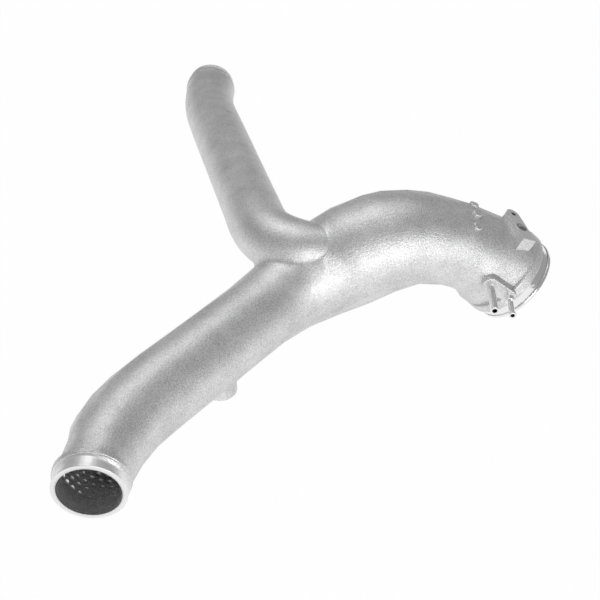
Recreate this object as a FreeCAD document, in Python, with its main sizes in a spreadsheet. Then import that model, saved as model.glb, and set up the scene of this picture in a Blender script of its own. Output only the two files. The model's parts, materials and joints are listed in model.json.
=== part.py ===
import FreeCAD, Part
import math
import os
import re

import Sketcher
from FreeCAD import Placement, Rotation, Vector

# Intake y-pipe: one sand casting in aluminium that joins two hose inlets into one larger outlet.
# The origin is the centre of the near inlet's mouth. +Y runs along the engine bay to the far
# inlet, +X to the outlet and +Z up. All sizes are millimetres and degrees.

document = FreeCAD.newDocument("intake_y_pipe")
sheet = document.addObject("Spreadsheet::Sheet", "Sizes")

SIZES = {
    # Hose inlets, both alike: a machined spigot with a raised lip at its mouth and a shoulder
    # where the rough casting begins
    "spigot_radius": 30.0,
    "spigot_length": 12.5,
    "spigot_bore_radius": 26.6,
    "lip_radius": 30.9,
    "lip_width": 3.2,
    "lip_round": 0.7,
    "shoulder_radius": 32.6,
    "shoulder_width": 4.5,
    "shoulder_round": 1.2,
    "cast_wall": 3.6,
    # Near arm: from its mouth up to the crest of the merged body
    "near_root_radius": 31.9,
    "near_lean_radius": 100.0,
    "near_corner_x": 11.0,
    "near_corner_y": 78.0,
    "near_corner_z": 0.0,
    "near_bend_radius": 130.0,
    "near_arm_radius": 37.0,
    "merge_x": 178.0,
    "merge_y": 270.5,
    "merge_z": 19.0,
    "merge_bend_radius": 113.0,
    "merge_radius": 36.6,
    "crest_x": 259.5,
    "crest_y": 272.0,
    "crest_z": 63.5,
    "crest_bend_radius": 86.0,
    "crest_radius": 51.0,
    # Outlet: a larger spigot that faces +X and down, behind a cast collar
    "outlet_x": 383.7,
    "outlet_y": 281.0,
    "outlet_tilt": 42.0,
    "outlet_leg": 67.8,
    "outlet_bend_radius": 155.0,
    "outlet_arm_radius": 42.8,
    "outlet_lip_radius": 45.0,
    "outlet_lip_width": 3.4,
    "outlet_lip_round": 0.8,
    "outlet_groove_radius": 43.0,
    "outlet_groove_width": 1.4,
    "outlet_spigot_radius": 44.2,
    "outlet_spigot_length": 13.2,
    "collar_radius": 46.9,
    "collar_width": 10.3,
    "collar_round": 1.6,
    # Far arm: from its mouth down the back to the merged body
    "far_x": 44.4,
    "far_y": 740.6,
    "far_leg": 65.3,
    "far_bend_radius": 340.0,
    "far_arm_radius": 31.8,
    "elbow_x": 143.0,
    "elbow_y": 229.0,
    "elbow_z": 61.3,
    "elbow_bend_radius": 62.7,
    "elbow_radius": 29.9,
    "join_radius": 26.7,
    "join_fillet": 6.0,
    # Spacing of the round sections along a run
    "section_pitch": 36.0,
    # Sensor pad: a machined flat across the crown of the outlet arm
    "sensor_setback": 47.2,
    "sensor_rise": 48.2,
    "sensor_offset": -5.3,
    "sensor_tilt": 26.0,
    "sensor_skew": 15.5,
    "sensor_bore_radius": 5.6,
    "sensor_pad_half_width": 7.6,
    "sensor_pad_front": 19.6,
    "sensor_pad_straight": 5.0,
    "sensor_pad_depth": 22.0,
    "insert_pitch": 20.5,
    "insert_radius": 3.5,
    "insert_length": 7.5,
    "insert_thread_radius": 2.1,
    "insert_land": 4.0,
    # Lugs: a row of short studs cast across the crown of the outlet arm
    "lug_setback": 80.0,
    "lug_count": 3,
    "lug_pitch": 20.0,
    "lug_lean": -11.0,
    "lug_radius": 4.8,
    "lug_stand": 2.6,
    "lug_root": 2.5,
    "lug_round": 1.4,
    # Nipple boss: a flat obround on the side of the outlet arm that holds two hose nipples
    "boss_stand": 50.0,
    "boss_drop": 4.0,
    "boss_depth": 14.0,
    "boss_round": 1.6,
    "long_nipple_setback": 46.0,
    "long_nipple_rise": 2.0,
    "long_boss_radius": 8.6,
    "short_nipple_setback": 23.0,
    "short_nipple_rise": 5.2,
    "short_boss_radius": 7.1,
    "nipple_hole_radius": 3.0,
    "nipple_seat": 8.0,
    "long_nipple_radius": 3.65,
    "long_nipple_bore_radius": 2.45,
    "long_nipple_length": 36.5,
    "long_bead_radius": 4.2,
    "short_nipple_radius": 2.75,
    "short_nipple_bore_radius": 2.1,
    "short_nipple_length": 27.3,
    "short_collar_radius": 4.5,
    "short_collar_width": 7.0,
    "short_bead_radius": 3.6,
    "bead_width": 2.6,
    "bead_round": 0.6,
    # Mount boss: a round foot under the near arm with a blind tapped hole from below
    "mount_x": 93.3,
    "mount_y": 149.5,
    "mount_base": -28.5,
    "mount_height": 30.0,
    "mount_radius": 15.3,
    "mount_round": 3.0,
    "mount_hole_radius": 3.4,
    "mount_hole_depth": 9.0,
    "mount_core_radius": 7.5,
    # Dimples: staggered rings of round hollows cut into the bore behind the near mouth
    "dimple_start": 18.0,
    "dimple_rings": 7,
    "dimple_ring_pitch": 6.4,
    "dimples_per_ring": 22,
    "dimple_sphere_radius": 3.2,
    "dimple_depth": 0.75,
}

for row, (name, value) in enumerate(SIZES.items(), start=1):
    sheet.set("A%d" % row, name)
    sheet.set("B%d" % row, str(value))
    sheet.setAlias("B%d" % row, name)
document.recompute()

# How far a point may lie off a face and still count as on it
RIM_SLACK = 0.01
JOINT_SLACK = 1.5


def size(name):
    """The value of one named cell."""
    return float(sheet.get(name))


def unit(vector):
    return Vector(vector).normalize()


def make_route(corners, bend_radii):
    """Straight legs joined by tangent bends; each span is (length, start, heading, inward, radius)."""
    spans = []
    start = corners[0]
    for before, corner, after, radius in zip(corners, corners[1:], corners[2:], bend_radii):
        arrive = unit(corner - before)
        leave = unit(after - corner)
        turn = arrive.getAngle(leave)
        reach = radius * math.tan(turn / 2)
        bend_start = corner - arrive * reach
        inward = unit(leave - arrive * math.cos(turn))
        spans.append(((bend_start - start).dot(arrive), start, arrive, None, 0.0))
        spans.append((radius * turn, bend_start, arrive, inward, radius))
        start = corner + leave * reach
    last = corners[-1] - start
    spans.append((last.Length, start, unit(last), None, 0.0))
    return spans


def route_length(spans):
    return sum(span[0] for span in spans)


def on_route(spans, distance):
    """The point and the heading at a distance along a route."""
    for length, start, heading, inward, radius in spans[:-1]:
        if distance <= length:
            break
        distance -= length
    else:
        length, start, heading, inward, radius = spans[-1]
    if inward is None:
        return start + heading * distance, heading
    angle = distance / radius
    point = start + heading * (radius * math.sin(angle)) + inward * (radius * (1 - math.cos(angle)))
    return point, heading * math.cos(angle) + inward * math.sin(angle)


def facing(point, heading):
    """A placement whose Z runs along the heading and whose X points down, where a seam is hidden."""
    side = heading.cross(Vector(0, 0, 1))
    down = heading.cross(side)
    return Placement(point, Rotation(down, heading.cross(down), heading, "ZXY"))


def blend(keys, distance):
    """A radius eased between (distance, radius) keys."""
    for (near_at, near_value), (far_at, far_value) in zip(keys, keys[1:]):
        if distance <= far_at:
            share = max(0.0, (distance - near_at) / (far_at - near_at))
            return near_value + (far_value - near_value) * share * share * (3 - 2 * share)
    return keys[-1][1]


def stations(start, end):
    """Distances of the sections, evenly spaced so that the surface runs smoothly through them."""
    count = max(2, math.ceil((end - start) / size("section_pitch")))
    return [start + (end - start) * index / count for index in range(count + 1)]


def origin_plane(body, role):
    return [plane for plane in body.Origin.OriginFeatures if plane.Role == role][0]


def new_sketch(body, name, place):
    """A sketch in a body, set to a placement."""
    sketch = body.newObject("Sketcher::SketchObject", name)
    sketch.AttachmentSupport = [(origin_plane(body, "XY_Plane"), "")]
    sketch.MapMode = "FlatFace"
    sketch.AttachmentOffset = place
    return sketch


def circle_sketch(body, name, place, radius):
    """One round section of a run, set square to the route."""
    sketch = new_sketch(body, name, place)
    sketch.addGeometry(Part.Circle(Vector(0, 0, 0), Vector(0, 0, 1), radius), False)
    return sketch


def bound_circle(body, name, place, cell):
    """A circle about a sketch's own origin, with its radius from a cell."""
    sketch = circle_sketch(body, name, place, size(cell))
    sketch.addConstraint(Sketcher.Constraint("Coincident", 0, 3, -1, 1))
    sketch.addConstraint(Sketcher.Constraint("Radius", 0, size(cell)))
    sketch.setExpression("Constraints[1]", "Sizes." + cell)
    return sketch


def loft_run(body, kind, name, spans, keys, start, end):
    """Loft a run through round sections from start to end."""
    sections = []
    for index, distance in enumerate(stations(start, end)):
        point, heading = on_route(spans, distance)
        section_name = "%s_section_%d" % (name, index)
        sections.append(circle_sketch(body, section_name, facing(point, heading), blend(keys, distance)))
    document.recompute()
    loft = body.newObject(kind, name)
    loft.Profile = sections[0]
    loft.Sections = sections[1:]
    body.Tip = loft
    document.recompute()
    return loft


def value_of(cells):
    """The value of a sum of cells such as "lip_width + spigot_length", or nought for none."""
    signed = re.findall(r"(-?) ?(\w+)", cells)
    return sum(-size(cell) if sign else size(cell) for sign, cell in signed)


def bind(sketch, number, cells):
    """Tie one constraint of a sketch to a sum of cells."""
    sketch.setExpression("Constraints[%d]" % number, re.sub(r"(\w+)", r"Sizes.\1", cells))


def draw_profile(sketch, corners):
    """A closed outline of upright and level lines, whose corners may be rounded by a cell's radius."""
    count = len(corners)
    points = [Vector(value_of(radius), value_of(depth), 0) for radius, depth, _ in corners]
    starts = list(points)
    ends = points[1:] + points[:1]
    pieces = []
    for index, (_, _, round_cell) in enumerate(corners):
        if round_cell:
            reach = size(round_cell)
            arrive = unit(points[index] - points[index - 1])
            leave = unit(points[(index + 1) % count] - points[index])
            ends[index - 1] = points[index] - arrive * reach
            starts[index] = points[index] + leave * reach
    for index, (radius, depth, round_cell) in enumerate(corners):
        if round_cell:
            leave = unit(starts[index] - points[index])
            centre = ends[index - 1] + leave * size(round_cell)
            turns_left = (points[index] - ends[index - 1]).cross(leave).z > 0
            first, last = (ends[index - 1], starts[index]) if turns_left else (starts[index], ends[index - 1])
            angles = [math.atan2(end.y - centre.y, end.x - centre.x) for end in (first, last)]
            circle = Part.Circle(centre, Vector(0, 0, 1), size(round_cell))
            arc = sketch.addGeometry(Part.ArcOfCircle(circle, angles[0], angles[1]), False)
            bind(sketch, sketch.addConstraint(Sketcher.Constraint("Radius", arc, size(round_cell))), round_cell)
            pieces.append((arc, 1, 2, True) if turns_left else (arc, 2, 1, True))
        line = sketch.addGeometry(Part.LineSegment(starts[index], ends[index]), False)
        upright = radius == corners[(index + 1) % count][0]
        sketch.addConstraint(Sketcher.Constraint("Vertical" if upright else "Horizontal", line))
        cells = radius if upright else depth
        if cells:
            kind = "DistanceX" if upright else "DistanceY"
            distance = Sketcher.Constraint(kind, -1, 1, line, 1, value_of(cells))
            bind(sketch, sketch.addConstraint(distance), cells)
        else:
            sketch.addConstraint(Sketcher.Constraint("PointOnObject", line, 1, -2 if upright else -1))
        pieces.append((line, 1, 2, False))
    for before, after in zip(pieces, pieces[1:] + pieces[:1]):
        kind = "Tangent" if before[3] or after[3] else "Coincident"
        sketch.addConstraint(Sketcher.Constraint(kind, before[0], before[2], after[0], after[1]))


def turn_profile(body, name, place, corners):
    """Turn a profile of (radius, depth, rounding) corners about its sketch's own Y."""
    sketch = new_sketch(body, name + "_profile", place)
    draw_profile(sketch, corners)
    document.recompute()
    turned = body.newObject("PartDesign::Revolution", name)
    turned.Profile = sketch
    turned.ReferenceAxis = (sketch, ["V_Axis"])
    turned.Angle = 360
    body.Tip = turned
    document.recompute()


def round_edges(body, name, belongs, cell):
    """Round every edge of a body whose points all pass a test."""
    base = body.Tip
    chosen = ["Edge%d" % index for index, edge in enumerate(base.Shape.Edges, start=1)
              if all(belongs(point) for point in edge.discretize(5))]
    fillet = body.newObject("PartDesign::Fillet", name)
    fillet.Base = (base, chosen)
    fillet.setExpression("Radius", "Sizes." + cell)
    body.Tip = fillet
    document.recompute()


def rim_of(place, reach):
    """A test for points that lie in a face's own plane, within a reach of its centre."""
    inverse = place.inverse()

    def belongs(point):
        local = inverse.multVec(point)
        return abs(local.z) < RIM_SLACK and math.hypot(local.x, local.y) < reach
    return belongs


def extrude(body, kind, name, sketch, cell):
    """Pad or pocket a sketch below its own plane by a cell's length."""
    document.recompute()
    feature = body.newObject(kind, name)
    feature.Profile = sketch
    feature.Reversed = kind == "PartDesign::Pad"
    feature.setExpression("Length", "Sizes." + cell)
    body.Tip = feature
    document.recompute()


outlet_heading = Vector(math.cos(math.radians(size("outlet_tilt"))), 0,
                        -math.sin(math.radians(size("outlet_tilt"))))
outlet_crown = Vector(-outlet_heading.z, 0, outlet_heading.x)
outlet_z = size("outlet_lip_radius") * outlet_heading.x - size("lip_radius")
outlet_mouth = Vector(size("outlet_x"), size("outlet_y"), outlet_z)
near_mouth = Vector(0, 0, 0)
far_mouth = Vector(size("far_x"), size("far_y"), 0)

near_route = make_route(
    [near_mouth,
     Vector(0, size("spigot_length") + 2, 0),
     Vector(size("near_corner_x"), size("near_corner_y"), size("near_corner_z")),
     Vector(size("merge_x"), size("merge_y"), size("merge_z")),
     Vector(size("crest_x"), size("crest_y"), size("crest_z")),
     outlet_mouth - outlet_heading * size("outlet_leg"),
     outlet_mouth],
    [size("near_lean_radius"), size("near_bend_radius"), size("merge_bend_radius"),
     size("crest_bend_radius"), size("outlet_bend_radius")])

near_lengths = [span[0] for span in near_route]
merged = on_route(near_route, sum(near_lengths[:7]))[0]
far_route = make_route(
    [far_mouth,
     far_mouth - Vector(0, size("far_leg"), 0),
     Vector(size("elbow_x"), size("elbow_y"), size("elbow_z")),
     merged],
    [size("far_bend_radius"), size("elbow_bend_radius")])
far_lengths = [span[0] for span in far_route]

near_keys = [
    (size("spigot_length"), size("near_root_radius")),
    (sum(near_lengths[:4]), size("near_arm_radius")),
    (sum(near_lengths[:5]) - 25, size("merge_radius")),
    (sum(near_lengths[:6]) + near_lengths[6] * 0.2, size("crest_radius")),
    (sum(near_lengths[:9]) + near_lengths[9] * 0.3, size("outlet_arm_radius")),
]
far_keys = [
    (size("spigot_length"), size("near_root_radius")),
    (sum(far_lengths[:2]), size("far_arm_radius")),
    (sum(far_lengths[:3]), size("elbow_radius")),
    (sum(far_lengths), size("join_radius")),
]


def bore_keys(keys):
    """The bore's radii: its own at the spigot, and one wall inside the casting beyond it."""
    inside = [(distance, radius - size("cast_wall")) for distance, radius in keys[1:]]
    return [(size("spigot_length"), size("spigot_bore_radius"))] + inside


def lies_on(route, keys, point):
    """Whether a point lies on the outside of a run."""
    steps = 200
    total = route_length(route)
    nearest = min(range(steps + 1),
                  key=lambda step: point.distanceToPoint(on_route(route, total * step / steps)[0]))
    distance = total * nearest / steps
    gap = point.distanceToPoint(on_route(route, distance)[0]) - blend(keys, distance)
    return abs(gap) < JOINT_SLACK


def spigot_place(mouth, inward):
    """A placement at a mouth whose Y runs into the pipe."""
    across = unit(inward.cross(Vector(0, 0, 1)))
    return Placement(mouth, Rotation(across, inward, across.cross(inward), "YXZ"))


def add_inlet(body, name, mouth, inward):
    """A hose spigot: lip at the mouth, straight land, and the shoulder that ends the casting."""
    shoulder_end = "spigot_length + shoulder_width"
    turn_profile(body, name, spigot_place(mouth, inward), [
        ("", "", ""),
        ("lip_radius", "", "lip_round"),
        ("lip_radius", "lip_width", "lip_round"),
        ("spigot_radius", "lip_width", ""),
        ("spigot_radius", "spigot_length", ""),
        ("shoulder_radius", "spigot_length", "shoulder_round"),
        ("shoulder_radius", shoulder_end, ""),
        ("", shoulder_end, "")])


def add_outlet(body):
    """The outlet: lip, groove, machined land and the cast collar behind it."""
    groove_end = "outlet_lip_width + outlet_groove_width"
    collar_end = "outlet_spigot_length + collar_width"
    turn_profile(body, "outlet", spigot_place(outlet_mouth, outlet_heading * -1), [
        ("", "", ""),
        ("outlet_lip_radius", "", "outlet_lip_round"),
        ("outlet_lip_radius", "outlet_lip_width", "outlet_lip_round"),
        ("outlet_groove_radius", "outlet_lip_width", ""),
        ("outlet_groove_radius", groove_end, ""),
        ("outlet_spigot_radius", groove_end, ""),
        ("outlet_spigot_radius", "outlet_spigot_length", ""),
        ("collar_radius", "outlet_spigot_length", "collar_round"),
        ("collar_radius", collar_end, "collar_round"),
        ("", collar_end, "")])


def tilted(angle):
    """Downstream and outward directions for a face that leans an angle about the Y axis."""
    lean = math.radians(angle)
    return Vector(math.cos(lean), 0, -math.sin(lean)), Vector(math.sin(lean), 0, math.cos(lean))


def sensor_place():
    """The sensor bore's mouth: Z out of the machined face, Y along the pad towards the insert."""
    downstream, outward = tilted(size("sensor_tilt"))
    skew = math.radians(size("sensor_skew"))
    along = Vector(0, 1, 0) * math.cos(skew) - downstream * math.sin(skew)
    point = (outlet_mouth - outlet_heading * size("sensor_setback") + outlet_crown * size("sensor_rise")
             + Vector(0, size("sensor_offset"), 0))
    return Placement(point, Rotation(along.cross(outward), along, outward, "ZYX"))


def insert_place():
    """The threaded insert's mouth, on the same face as the sensor bore."""
    place = sensor_place()
    return Placement(place.multVec(Vector(0, size("insert_pitch"), 0)), place.Rotation)


def add_sensor_pad(body):
    """A flat bar across the crown, square at the front and rounded about the insert at the back."""
    sketch = new_sketch(body, "sensor_pad_outline", sensor_place())
    half = size("sensor_pad_half_width")
    end = size("insert_radius") + size("insert_land")
    pitch = size("insert_pitch")
    corners = [Vector(-end, pitch, 0),
               Vector(-half, size("sensor_pad_straight"), 0),
               Vector(-half, -size("sensor_pad_front"), 0),
               Vector(half, -size("sensor_pad_front"), 0),
               Vector(half, size("sensor_pad_straight"), 0),
               Vector(end, pitch, 0)]
    for start, finish in zip(corners, corners[1:]):
        sketch.addGeometry(Part.LineSegment(start, finish), False)
    circle = Part.Circle(Vector(0, pitch, 0), Vector(0, 0, 1), end)
    sketch.addGeometry(Part.ArcOfCircle(circle, 0, math.pi), False)
    extrude(body, "PartDesign::Pad", "sensor_pad", sketch, "sensor_pad_depth")


def boss_place(setback, rise):
    """A point on the nipple boss's face: Z out of it and X downstream."""
    drop = math.radians(size("boss_drop"))
    outward = Vector(0, -math.cos(drop), 0) - outlet_crown * math.sin(drop)
    upward = outward.cross(outlet_heading)
    point = outlet_mouth + outward * size("boss_stand") - outlet_heading * setback + upward * rise
    return Placement(point, Rotation(outlet_heading, upward, outward, "ZXY"))


def long_nipple_place():
    return boss_place(size("long_nipple_setback"), size("long_nipple_rise"))


def short_nipple_place():
    return boss_place(size("short_nipple_setback"), size("short_nipple_rise"))


def add_nipple_boss(body):
    """Two ends of different size joined by tangent sides."""
    sketch = new_sketch(body, "nipple_boss_outline", boss_place(0, 0))
    first = Vector(-size("long_nipple_setback"), size("long_nipple_rise"), 0)
    second = Vector(-size("short_nipple_setback"), size("short_nipple_rise"), 0)
    radii = size("long_boss_radius"), size("short_boss_radius")
    run = second - first
    heading = math.atan2(run.y, run.x)
    slope = math.acos((radii[0] - radii[1]) / run.Length)
    rims = []
    for centre, radius in ((first, radii[0]), (second, radii[1])):
        rims.append([centre + Vector(math.cos(heading + side * slope), math.sin(heading + side * slope), 0)
                     * radius for side in (1, -1)])
    circle = Part.Circle(first, Vector(0, 0, 1), radii[0])
    sketch.addGeometry(Part.ArcOfCircle(circle, heading + slope, heading - slope + 2 * math.pi), False)
    sketch.addGeometry(Part.LineSegment(rims[0][1], rims[1][1]), False)
    circle = Part.Circle(second, Vector(0, 0, 1), radii[1])
    sketch.addGeometry(Part.ArcOfCircle(circle, heading - slope, heading + slope), False)
    sketch.addGeometry(Part.LineSegment(rims[1][0], rims[0][0]), False)
    extrude(body, "PartDesign::Pad", "nipple_boss", sketch, "boss_depth")
    reach = size("long_nipple_setback") + size("long_boss_radius") + 1
    round_edges(body, "nipple_boss_round", rim_of(boss_place(0, 0), reach), "boss_round")


def add_lugs(body):
    """A row of round lugs that stand out of the crown, square to the surface."""
    station = route_length(near_route) - size("lug_setback")
    point, heading = on_route(near_route, station)
    crown = unit(Vector(0, 0, 1) - heading * heading.z)
    side = crown.cross(heading)
    surface = blend(near_keys, station)
    for index in range(int(size("lug_count"))):
        turn = math.radians((index - (size("lug_count") - 1) / 2) * size("lug_pitch") + size("lug_lean"))
        outward = crown * math.cos(turn) + side * math.sin(turn)
        top = point + outward * (surface + size("lug_stand"))
        place = Placement(top, Rotation(heading, outward.cross(heading), outward, "ZXY"))
        sketch = bound_circle(body, "lug_outline_%d" % index, place, "lug_radius")
        document.recompute()
        lug = body.newObject("PartDesign::Pad", "lug_%d" % index)
        lug.Profile = sketch
        lug.Reversed = True
        lug.setExpression("Length", "Sizes.lug_stand + Sizes.lug_root")
        body.Tip = lug
        document.recompute()
        round_edges(body, "lug_round_%d" % index, rim_of(place, size("lug_radius") + 1), "lug_round")


def mount_place():
    """The mount boss's face: Z points down, out of the tapped hole."""
    point = Vector(size("mount_x"), size("mount_y"), size("mount_base"))
    return Placement(point, Rotation(Vector(1, 0, 0), 180))


def cut_hole(body, name, place, radius_cell, depth_cell):
    """A round hole down from a face."""
    sketch = bound_circle(body, name + "_outline", place, radius_cell)
    extrude(body, "PartDesign::Pocket", name, sketch, depth_cell)


def make_dimples():
    """Spheres that cut the hollows of the near bore, each ring turned half a step from the last."""
    keys = bore_keys(near_keys)
    count = int(size("dimples_per_ring"))
    spheres = []
    for ring in range(int(size("dimple_rings"))):
        station = size("dimple_start") + ring * size("dimple_ring_pitch")
        point, heading = on_route(near_route, station)
        place = facing(point, heading)
        reach = blend(keys, station) + size("dimple_depth") - size("dimple_sphere_radius")
        for index in range(count):
            turn = 2 * math.pi * (index + ring % 2 / 2) / count
            centre = place.multVec(Vector(reach * math.cos(turn), reach * math.sin(turn), 0))
            spheres.append(Part.makeSphere(size("dimple_sphere_radius"), centre, heading))
    dimples = document.addObject("Part::Feature", "dimples")
    dimples.Shape = Part.makeCompound(spheres)
    return dimples


def turned_piece(name, place, corners):
    """A turned piece in its own body; the profile's Y runs out of the hole that holds it."""
    body = document.addObject("PartDesign::Body", name)
    body.Label = name
    outward = place.Rotation.multVec(Vector(0, 0, 1))
    across = place.Rotation.multVec(Vector(1, 0, 0))
    seat = Placement(place.Base, Rotation(across, outward, across.cross(outward), "YXZ"))
    turn_profile(body, name + "_turned", seat, corners)
    return body


def make_insert():
    """The steel thread insert, flush with the sensor pad's face."""
    return turned_piece("sensor_insert", insert_place(), [
        ("insert_thread_radius", "-insert_length", ""),
        ("insert_radius", "-insert_length", ""),
        ("insert_radius", "", ""),
        ("insert_thread_radius", "", "")])


def make_long_nipple():
    """The larger hose nipple: a plain tube pressed into the boss, with a bead at its end."""
    tip = "long_nipple_length"
    return turned_piece("long_nipple", long_nipple_place(), [
        ("long_nipple_bore_radius", "-nipple_seat", ""),
        ("nipple_hole_radius", "-nipple_seat", ""),
        ("nipple_hole_radius", "", ""),
        ("long_nipple_radius", "", ""),
        ("long_nipple_radius", tip + " - bead_width", ""),
        ("long_bead_radius", tip + " - bead_width", "bead_round"),
        ("long_bead_radius", tip, "bead_round"),
        ("long_nipple_bore_radius", tip, "")])


def make_short_nipple():
    """The smaller hose nipple, with a collar that stops it at the boss."""
    tip = "short_nipple_length"
    return turned_piece("short_nipple", short_nipple_place(), [
        ("short_nipple_bore_radius", "-nipple_seat", ""),
        ("nipple_hole_radius", "-nipple_seat", ""),
        ("nipple_hole_radius", "", ""),
        ("short_collar_radius", "", ""),
        ("short_collar_radius", "short_collar_width", "bead_round"),
        ("short_nipple_radius", "short_collar_width", ""),
        ("short_nipple_radius", tip + " - bead_width", ""),
        ("short_bead_radius", tip + " - bead_width", "bead_round"),
        ("short_bead_radius", tip, "bead_round"),
        ("short_nipple_bore_radius", tip, "")])


def make_casting():
    body = document.addObject("PartDesign::Body", "casting_body")
    near_total = route_length(near_route)
    far_total = route_length(far_route)
    start = size("spigot_length")
    loft_run(body, "PartDesign::AdditiveLoft", "near_run", near_route, near_keys,
             start, near_total - size("outlet_spigot_length"))
    loft_run(body, "PartDesign::AdditiveLoft", "far_run", far_route, far_keys, start, far_total)
    round_edges(body, "joint_round",
                lambda point: (lies_on(near_route, near_keys, point)
                               and lies_on(far_route, far_keys, point)), "join_fillet")
    add_inlet(body, "near_inlet", near_mouth, Vector(0, 1, 0))
    add_inlet(body, "far_inlet", far_mouth, Vector(0, -1, 0))
    add_outlet(body)
    add_sensor_pad(body)
    add_nipple_boss(body)
    add_lugs(body)
    mount_outline = bound_circle(body, "mount_boss_outline", mount_place(), "mount_radius")
    extrude(body, "PartDesign::Pad", "mount_boss", mount_outline, "mount_height")
    round_edges(body, "mount_boss_round", rim_of(mount_place(), size("mount_radius") + 1), "mount_round")
    loft_run(body, "PartDesign::SubtractiveLoft", "near_bore", near_route, bore_keys(near_keys),
             0, near_total)
    loft_run(body, "PartDesign::SubtractiveLoft", "far_bore", far_route, bore_keys(far_keys),
             0, far_total)
    cut_hole(body, "sensor_bore", sensor_place(), "sensor_bore_radius", "sensor_pad_depth")
    cut_hole(body, "insert_hole", insert_place(), "insert_radius", "insert_length")
    cut_hole(body, "long_nipple_hole", long_nipple_place(), "nipple_hole_radius", "boss_depth")
    cut_hole(body, "short_nipple_hole", short_nipple_place(), "nipple_hole_radius", "boss_depth")
    core = bound_circle(body, "mount_core_outline", mount_place(), "mount_core_radius")
    extrude(body, "PartDesign::Pad", "mount_core", core, "mount_hole_depth")
    cut_hole(body, "mount_hole", mount_place(), "mount_hole_radius", "mount_hole_depth")
    return body


casting_body = make_casting()
casting = document.addObject("Part::Cut", "pipe_casting")
casting.Label = "pipe_casting"
casting.Base = casting_body
casting.Tool = make_dimples()
pieces = [casting, make_insert(), make_long_nipple(), make_short_nipple()]
document.recompute()

for item in document.Objects:
    if "Invalid" in item.State or "Error" in item.State:
        raise RuntimeError("%s failed: %s" % (item.Name, item.State))

os.makedirs("parts", exist_ok=True)
for piece in pieces:
    if piece.Shape.isNull() or not piece.Shape.isValid():
        raise RuntimeError("%s has no valid shape" % piece.Label)
    piece.Shape.exportStep("parts/%s.step" % piece.Label)
    print(piece.Label, round(piece.Shape.Volume), len(piece.Shape.Solids), "solid")
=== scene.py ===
import json
import math

import bpy
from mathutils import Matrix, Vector


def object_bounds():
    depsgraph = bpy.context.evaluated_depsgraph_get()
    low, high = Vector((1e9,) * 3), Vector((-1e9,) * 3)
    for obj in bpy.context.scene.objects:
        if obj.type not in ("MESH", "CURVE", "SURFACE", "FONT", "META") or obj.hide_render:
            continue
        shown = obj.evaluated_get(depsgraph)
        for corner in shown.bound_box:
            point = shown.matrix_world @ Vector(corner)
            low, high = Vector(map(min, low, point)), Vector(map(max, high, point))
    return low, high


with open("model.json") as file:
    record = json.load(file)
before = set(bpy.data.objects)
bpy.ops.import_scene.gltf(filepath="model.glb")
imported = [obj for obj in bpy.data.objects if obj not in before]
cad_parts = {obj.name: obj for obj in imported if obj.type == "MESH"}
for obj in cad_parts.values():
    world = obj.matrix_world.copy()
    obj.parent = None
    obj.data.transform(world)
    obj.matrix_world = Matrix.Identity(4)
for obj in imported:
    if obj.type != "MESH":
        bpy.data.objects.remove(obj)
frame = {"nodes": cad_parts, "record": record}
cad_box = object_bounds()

# The camera stands behind the near inlet and looks down along the pipe, as in the photograph.
# Its pitch is measured down from a level view.
CAMERA_PLACE = (0.1665, -0.5365, 0.598)
CAMERA_PITCH = 37.2
LEVEL_VIEW = 90.0
CAMERA_LENS = 60.0
CAMERA_NEAREST = 0.01

camera_data = bpy.data.cameras.new("camera")
camera_data.lens = CAMERA_LENS
camera_data.clip_start = CAMERA_NEAREST
camera = bpy.data.objects.new("camera", camera_data)
camera.location = CAMERA_PLACE
camera.rotation_euler = (math.radians(LEVEL_VIEW - CAMERA_PITCH), 0, 0)
bpy.context.scene.collection.objects.link(camera)
bpy.context.scene.camera = camera
bpy.context.scene.view_settings.view_transform = "Standard"

# The floor is a plain white sheet just under the pipe. The camera and reflections see it as
# bright white paper with a little of its matt surface, and all other light sees it as matt.
FLOOR_HALF_WIDTH = 6.0
FLOOR_COLOUR = (0.86, 0.86, 0.86, 1.0)
FLOOR_ROUGHNESS = 0.9
FLOOR_GLOW = 0.985
PAPER_LIGHT = 1.0
FLOOR_GAP = 0.0002


def add_node(tree, kind, values=None, **settings):
    """One node with its settings and the values of its unlinked sockets."""
    node = tree.nodes.new("ShaderNode" + kind)
    for setting, value in settings.items():
        setattr(node, setting, value)
    for socket, value in (values or {}).items():
        node.inputs[socket].default_value = value
    return node


def calculate(tree, operation, first, second=0.0):
    """A Math node whose inputs are sockets or numbers."""
    node = add_node(tree, "Math", operation=operation)
    for socket, value in zip(node.inputs, (first, second)):
        if isinstance(value, bpy.types.NodeSocket):
            tree.links.new(value, socket)
        else:
            socket.default_value = value
    return node.outputs[0]


floor_height = cad_box[0].z - FLOOR_GAP
bpy.ops.mesh.primitive_plane_add(size=2 * FLOOR_HALF_WIDTH, location=(0, 0, floor_height))
floor = bpy.context.object
floor.name = "floor"
floor_material = bpy.data.materials.new("white_floor")
floor_material.use_nodes = True
tree = floor_material.node_tree
paper = tree.nodes["Principled BSDF"]
paper.inputs["Base Color"].default_value = FLOOR_COLOUR
paper.inputs["Roughness"].default_value = FLOOR_ROUGHNESS
glow = add_node(tree, "Emission", {"Strength": PAPER_LIGHT})
rays = add_node(tree, "LightPath")
seen = rays.outputs["Is Camera Ray"]
for reflected in ("Is Glossy Ray", "Is Transmission Ray"):
    seen = calculate(tree, "MAXIMUM", seen, rays.outputs[reflected])
sheet = add_node(tree, "MixShader")
tree.links.new(calculate(tree, "MULTIPLY", seen, FLOOR_GLOW), sheet.inputs["Fac"])
tree.links.new(paper.outputs[0], sheet.inputs[1])
tree.links.new(glow.outputs[0], sheet.inputs[2])
tree.links.new(sheet.outputs[0], tree.nodes["Material Output"].inputs["Surface"])
floor.data.materials.append(floor_material)

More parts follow.
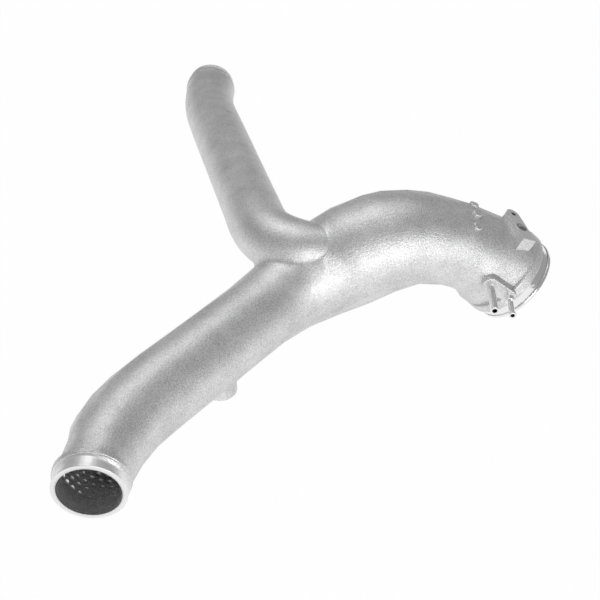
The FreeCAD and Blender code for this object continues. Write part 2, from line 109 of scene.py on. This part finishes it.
# The studio is a grey room with a wide soft light in front, low on the camera's side, and a
# weaker one above and behind. Both face the middle of the pipe.
ROOM_GREY = (0.36, 0.36, 0.36, 1.0)
SOFT_LIGHTS = {
    "front_softbox": {"place": (0.6, -1.45, 0.45), "wide": 1.6, "tall": 0.6, "watts": 13.0},
    "top_softbox": {"place": (-0.2, 0.75, 1.5), "wide": 0.8, "tall": 0.8, "watts": 5.0},
}

world = bpy.data.worlds.new("grey_room")
world.use_nodes = True
world.node_tree.nodes["Background"].inputs["Color"].default_value = ROOM_GREY
bpy.context.scene.world = world
pipe_middle = (cad_box[0] + cad_box[1]) / 2
for name, light in SOFT_LIGHTS.items():
    lamp = bpy.data.lights.new(name, "AREA")
    lamp.shape = "RECTANGLE"
    lamp.size = light["wide"]
    lamp.size_y = light["tall"]
    lamp.energy = light["watts"]
    holder = bpy.data.objects.new(name, lamp)
    holder.location = light["place"]
    holder.rotation_euler = (pipe_middle - holder.location).to_track_quat("-Z", "Y").to_euler()
    bpy.context.scene.collection.objects.link(holder)

# The pipe body is one casting in aluminium, blasted to a fine matt grain all over. The outsides
# of its three mouths are turned smooth afterwards, and the faces of the sensor pad and of the
# mount boss are milled.
CAST_COLOUR = (0.86, 0.86, 0.865, 1.0)
CAST_SHADE = (0.52, 0.52, 0.525, 1.0)
TURNED_COLOUR = (0.86, 0.86, 0.865, 1.0)
CAST_ROUGHNESS = 0.5
MACHINED_ZONES = {
    "near_inlet": {"depth": 0.0119, "reach": 0.04, "bore": 0.0275, "roughness": 0.4},
    "far_inlet": {"depth": 0.0119, "reach": 0.04, "bore": 0.0275, "roughness": 0.4},
    "outlet": {"depth": 0.0126, "reach": 0.058, "bore": 0.041, "roughness": 0.16},
    "sensor_bore": {"depth": 0.0003, "reach": 0.032, "bore": 0.0, "roughness": 0.3},
    "bracket_screw": {"depth": 0.0003, "reach": 0.014, "bore": 0.0, "roughness": 0.3},
}
HALF_MILLIMETRE = 0.0005
GRAIN_SIZE = 0.0011
GRAIN_DETAIL = 2.0
GRAIN_HEIGHT = 0.00028
GRAIN_MIDDLE = 0.5
GRAIN_CONTRAST = 2.8
BLOTCH_SIZE = 0.022
BLOTCH_DETAIL = 3.0
BLOTCH_LIFT = 0.1
FINE_SHARE = 0.6
PIT_SIZE = 0.0026
PIT_HEIGHT = 0.0001
TURNING_PITCH = 0.0006
TURNING_HEIGHT = 0.00001
TRUE_HEIGHT = 1.0


def new_group(name, inputs, outputs):
    """An effect shared by several materials, with named sockets."""
    group = bpy.data.node_groups.new(name, "ShaderNodeTree")
    for socket, kind in inputs.items():
        group.interface.new_socket(socket, in_out="INPUT", socket_type="NodeSocket" + kind)
    for socket, kind in outputs.items():
        group.interface.new_socket(socket, in_out="OUTPUT", socket_type="NodeSocket" + kind)
    return group, group.nodes.new("NodeGroupInput"), group.nodes.new("NodeGroupOutput")


# Blasted grain: fine noise, scattered pits, and broad faint blotches for the colour
grain, given, result = new_group(
    "blasted_grain",
    {"Place": "Vector", "Grain Size": "Float", "Blotch Size": "Float", "Pit Size": "Float"},
    {"Grain": "Float", "Blotch": "Float", "Pits": "Float"})
for socket, detail in (("Grain", GRAIN_DETAIL), ("Blotch", BLOTCH_DETAIL)):
    noise = add_node(grain, "TexNoise", {"Detail": detail, "Roughness": FINE_SHARE})
    scale = calculate(grain, "DIVIDE", 1.0, given.outputs[socket + " Size"])
    grain.links.new(given.outputs["Place"], noise.inputs["Vector"])
    grain.links.new(scale, noise.inputs["Scale"])
    grain.links.new(noise.outputs["Fac"], result.inputs[socket])
pits = add_node(grain, "TexVoronoi")
grain.links.new(given.outputs["Place"], pits.inputs["Vector"])
grain.links.new(calculate(grain, "DIVIDE", 1.0, given.outputs["Pit Size"]), pits.inputs["Scale"])
grain.links.new(pits.outputs["Distance"], result.inputs["Pits"])

# Turned zone: a mask that is one outside a bore and up to a depth behind its face, and the
# tool's rings at that depth
turned, given, result = new_group(
    "turned_zone",
    {"Place": "Vector", "Face": "Vector", "Inward": "Vector", "Depth": "Float", "Reach": "Float",
     "Bore": "Float", "Pitch": "Float"},
    {"Mask": "Float", "Rings": "Float"})
from_face = add_node(turned, "VectorMath", operation="SUBTRACT")
turned.links.new(given.outputs["Place"], from_face.inputs[0])
turned.links.new(given.outputs["Face"], from_face.inputs[1])
behind = add_node(turned, "VectorMath", operation="DOT_PRODUCT")
turned.links.new(from_face.outputs[0], behind.inputs[0])
turned.links.new(given.outputs["Inward"], behind.inputs[1])
length = add_node(turned, "VectorMath", operation="LENGTH")
turned.links.new(from_face.outputs[0], length.inputs[0])
depth = calculate(turned, "ABSOLUTE", behind.outputs["Value"])
distance = length.outputs["Value"]
shallow = calculate(turned, "LESS_THAN", depth, given.outputs["Depth"])
near_enough = calculate(turned, "LESS_THAN", distance, given.outputs["Reach"])
radius_squared = calculate(turned, "SUBTRACT", calculate(turned, "POWER", distance, 2.0),
                           calculate(turned, "POWER", depth, 2.0))
radius = calculate(turned, "SQRT", radius_squared)
outside = calculate(turned, "GREATER_THAN", radius, given.outputs["Bore"])
close = calculate(turned, "MULTIPLY", shallow, near_enough)
turned.links.new(calculate(turned, "MULTIPLY", close, outside), result.inputs["Mask"])
turns = calculate(turned, "DIVIDE", depth, given.outputs["Pitch"])
turned.links.new(calculate(turned, "SINE", turns), result.inputs["Rings"])


def new_metal(name, colour, roughness):
    """A metal with its tree, its shader and the object's own coordinates."""
    material = bpy.data.materials.new(name)
    material.use_nodes = True
    tree = material.node_tree
    shader = tree.nodes["Principled BSDF"]
    shader.inputs["Metallic"].default_value = 1.0
    shader.inputs["Base Color"].default_value = colour
    shader.inputs["Roughness"].default_value = roughness
    return material, tree, shader, add_node(tree, "TexCoord").outputs["Object"]


def place_group(tree, group, place, values):
    """A shared effect set into a material."""
    node = add_node(tree, "Group", node_tree=group)
    tree.links.new(place, node.inputs["Place"])
    for socket, value in values.items():
        node.inputs[socket].default_value = value
    return node


def machined_zones(tree, place):
    """The mask, summed tool rings and roughness of the turned mouths and the milled faces."""
    mask, rings, roughness = 0.0, 0.0, CAST_ROUGHNESS
    for mount in frame["record"]["mounts"]:
        if mount["name"] not in MACHINED_ZONES:
            continue
        cut = MACHINED_ZONES[mount["name"]]
        axis = Vector(mount["axis"])
        face = Vector(mount["pos_m"]) + axis * mount["dims"]["length_mm"] * HALF_MILLIMETRE
        zone = place_group(tree, turned, place, {
            "Face": face, "Inward": -axis, "Depth": cut["depth"], "Reach": cut["reach"],
            "Bore": cut["bore"], "Pitch": TURNING_PITCH})
        mask = calculate(tree, "MAXIMUM", mask, zone.outputs["Mask"])
        rings = calculate(tree, "ADD", rings, zone.outputs["Rings"])
        step = calculate(tree, "MULTIPLY", zone.outputs["Mask"], cut["roughness"] - CAST_ROUGHNESS)
        roughness = calculate(tree, "ADD", roughness, step)
    return mask, rings, roughness


cast, tree, shader, place = new_metal("cast_aluminium", CAST_COLOUR, CAST_ROUGHNESS)
blast = place_group(tree, grain, place, {
    "Grain Size": GRAIN_SIZE, "Blotch Size": BLOTCH_SIZE, "Pit Size": PIT_SIZE})
mask, rings, roughness = machined_zones(tree, place)
tree.links.new(roughness, shader.inputs["Roughness"])

# Colour of the casting: pale and darker specks, drifting with the blotches, plain where turned
speckle = calculate(tree, "SUBTRACT", blast.outputs["Grain"], GRAIN_MIDDLE)
strong_speckle = calculate(tree, "MULTIPLY", speckle, GRAIN_CONTRAST)
mottle = calculate(tree, "ADD", strong_speckle, blast.outputs["Blotch"])
cast_colour = add_node(tree, "Mix", {"A": CAST_SHADE, "B": CAST_COLOUR}, data_type="RGBA")
tree.links.new(calculate(tree, "ADD", mottle, BLOTCH_LIFT), cast_colour.inputs["Factor"])
surface_colour = add_node(tree, "Mix", {"B": TURNED_COLOUR}, data_type="RGBA")
tree.links.new(mask, surface_colour.inputs["Factor"])
tree.links.new(cast_colour.outputs["Result"], surface_colour.inputs["A"])
tree.links.new(surface_colour.outputs["Result"], shader.inputs["Base Color"])

# Height of the casting: grain and pits where it is blasted, rings where it is turned
grain_height = calculate(tree, "MULTIPLY", blast.outputs["Grain"], GRAIN_HEIGHT)
pit_height = calculate(tree, "MULTIPLY", blast.outputs["Pits"], PIT_HEIGHT)
cast_height = calculate(tree, "ADD", grain_height, pit_height)
ring_height = calculate(tree, "MULTIPLY", rings, TURNING_HEIGHT)
blasted_share = calculate(tree, "SUBTRACT", 1.0, mask)
height = calculate(tree, "ADD", calculate(tree, "MULTIPLY", cast_height, blasted_share),
                   calculate(tree, "MULTIPLY", ring_height, mask))
bump = add_node(tree, "Bump", {"Distance": TRUE_HEIGHT})
tree.links.new(height, bump.inputs["Height"])
tree.links.new(bump.outputs["Normal"], shader.inputs["Normal"])

# The two hose tubes are turned aluminium and the threaded insert is turned steel. They are
# smooth and were never blasted, so they catch brighter edges than the casting.
STEEL_COLOUR = (0.66, 0.65, 0.64, 1.0)
TUBE_ROUGHNESS = 0.2
STEEL_ROUGHNESS = 0.28
SHEEN_SIZE = 0.0012


def turned_metal(name, colour, roughness):
    """A smooth metal whose gloss varies a little from place to place."""
    material, tree, shader, place = new_metal(name, colour, roughness)
    sheen = place_group(tree, grain, place, {
        "Grain Size": SHEEN_SIZE, "Blotch Size": BLOTCH_SIZE, "Pit Size": PIT_SIZE})
    gloss = calculate(tree, "MULTIPLY", sheen.outputs["Grain"], roughness / GRAIN_MIDDLE)
    tree.links.new(gloss, shader.inputs["Roughness"])
    return material


finishes = {
    "cast_aluminium": cast,
    "turned_aluminium": turned_metal("turned_aluminium", TURNED_COLOUR, TUBE_ROUGHNESS),
    "insert_steel": turned_metal("insert_steel", STEEL_COLOUR, STEEL_ROUGHNESS),
}
for subpart in frame["record"]["subparts"]:
    node = frame["nodes"][subpart["node"]]
    node.data.materials.clear()
    node.data.materials.append(finishes[subpart["material_slot"]])
